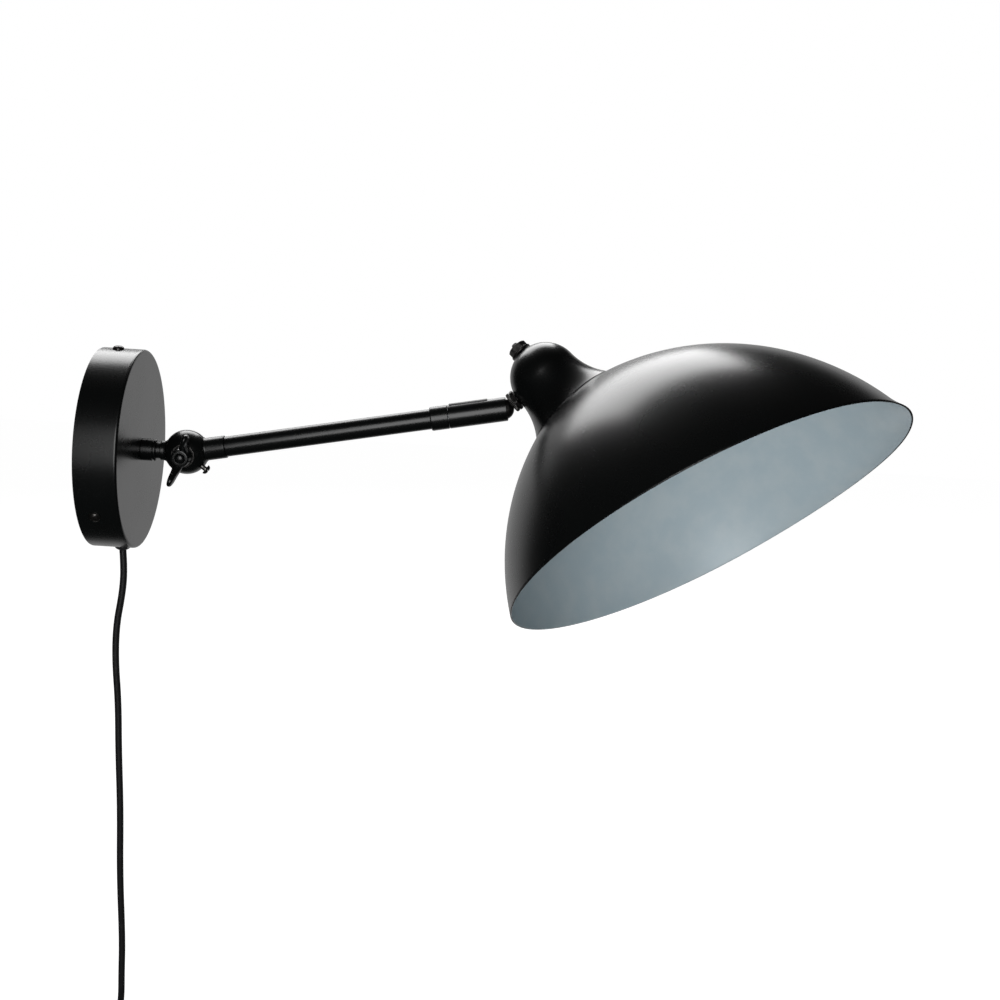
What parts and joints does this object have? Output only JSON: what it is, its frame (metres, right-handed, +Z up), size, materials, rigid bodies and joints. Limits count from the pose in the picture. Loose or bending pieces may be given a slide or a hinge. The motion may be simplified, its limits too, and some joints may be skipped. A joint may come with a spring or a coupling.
{
  "type": "swing-arm wall lamp",
  "caption": "Plug-in wall lamp: round canopy, turning stem, wing-nut ball hinge, straight arm with a turning sleeve, ball-jointed dome shade with a slanted mouth, hanging lead.",
  "frame": {"origin": "centre of the canopy's back plane, on the wall", "axes": "+X out of the wall, +Z up, +Y away from the side with the wing nut; the arm lies in the XZ plane"},
  "size_m": [0.4864, 0.2234, 0.6132],
  "materials": {
    "black_paint": "satin black powder coat",
    "blackened_steel": "blackened steel, worn",
    "zinc_plated_steel": "zinc plated",
    "black_plastic": "matte moulded",
    "white_plastic": "matte moulded",
    "lead_pvc": "smooth flexible cable sheath",
    "nickel_brass": "nickel plated"
  },
  "bodies": {
    "wall_unit": {"wall_plate": "zinc_plated_steel", "canopy": "black_paint", "side_screw_1": "blackened_steel", "side_screw_2": "blackened_steel", "side_screw_3": "blackened_steel", "terminal_block": "white_plastic", "lead_gland": "black_plastic", "lead_gland_nut": "black_plastic", "lead_hanging": "lead_pvc", "lead_coil": "lead_pvc", "lead_tail": "lead_pvc", "lead_tie": "black_plastic", "plug_relief": "lead_pvc", "plug_body": "black_plastic", "plug_pin_1": "nickel_brass", "plug_pin_2": "nickel_brass"},
    "stem": {"stem_collar": "black_paint", "stem_pipe": "black_paint", "stem_washer": "zinc_plated_steel", "stem_nut": "zinc_plated_steel", "hinge_wall_half": "black_paint", "hinge_bolt": "black_paint"},
    "wing": {"wing_nut": "black_paint"},
    "arm": {"hinge_arm_half": "black_paint", "hinge_washer": "blackened_steel", "hinge_set_screw": "blackened_steel", "arm_tube": "black_paint", "arm_ring": "black_paint", "arm_spigot": "blackened_steel"},
    "sleeve": {"swivel_sleeve": "black_paint", "sleeve_strip": "black_paint"},
    "ball_stud": {"ball_stud": "blackened_steel", "stud_outer_nut": "blackened_steel", "stud_inner_nut": "blackened_steel"},
    "shade": {"shade_cup": "black_paint", "shade_dome": "black_paint", "apex_washer": "blackened_steel", "apex_nut": "blackened_steel", "apex_stud": "blackened_steel", "holder_cap": "black_plastic", "holder_barrel": "black_plastic", "holder_shell": "nickel_brass", "holder_contact": "nickel_brass", "holder_ring": "black_plastic"}
  },
  "joints": [
    {"name": "stem_turn", "type": "hinge", "parent": "wall_unit", "child": "stem", "pos_m": [0.0241, 0, 0], "axis": [1, 0, 0], "range_deg": [-160, 160]},
    {"name": "arm_tilt", "type": "hinge", "parent": "stem", "child": "arm", "pos_m": [0.0519, 0, 0], "axis": [0, 1, 0], "range_deg": [-48, 46]},
    {"name": "wing_turn", "type": "hinge", "parent": "stem", "child": "wing", "pos_m": [0.0519, -0.01275, 0], "axis": [0, -1, 0], "range_deg": [-180, 180]},
    {"name": "sleeve_turn", "type": "hinge", "parent": "arm", "child": "sleeve", "pos_m": [0.21855, 0, 0.0336], "axis": [0.9803, 0, 0.1977], "range_deg": [-170, 170]},
    {"name": "head_tilt", "type": "hinge", "parent": "sleeve", "child": "ball_stud", "pos_m": [0.24178, 0, 0.03829], "axis": [0, 1, 0], "range_deg": [-4, 62]},
    {"name": "shade_turn", "type": "hinge", "parent": "ball_stud", "child": "shade", "pos_m": [0.25006, 0, 0.04553], "axis": [0.7524, 0, 0.6587], "range_deg": [-150, 150]}
  ]
}
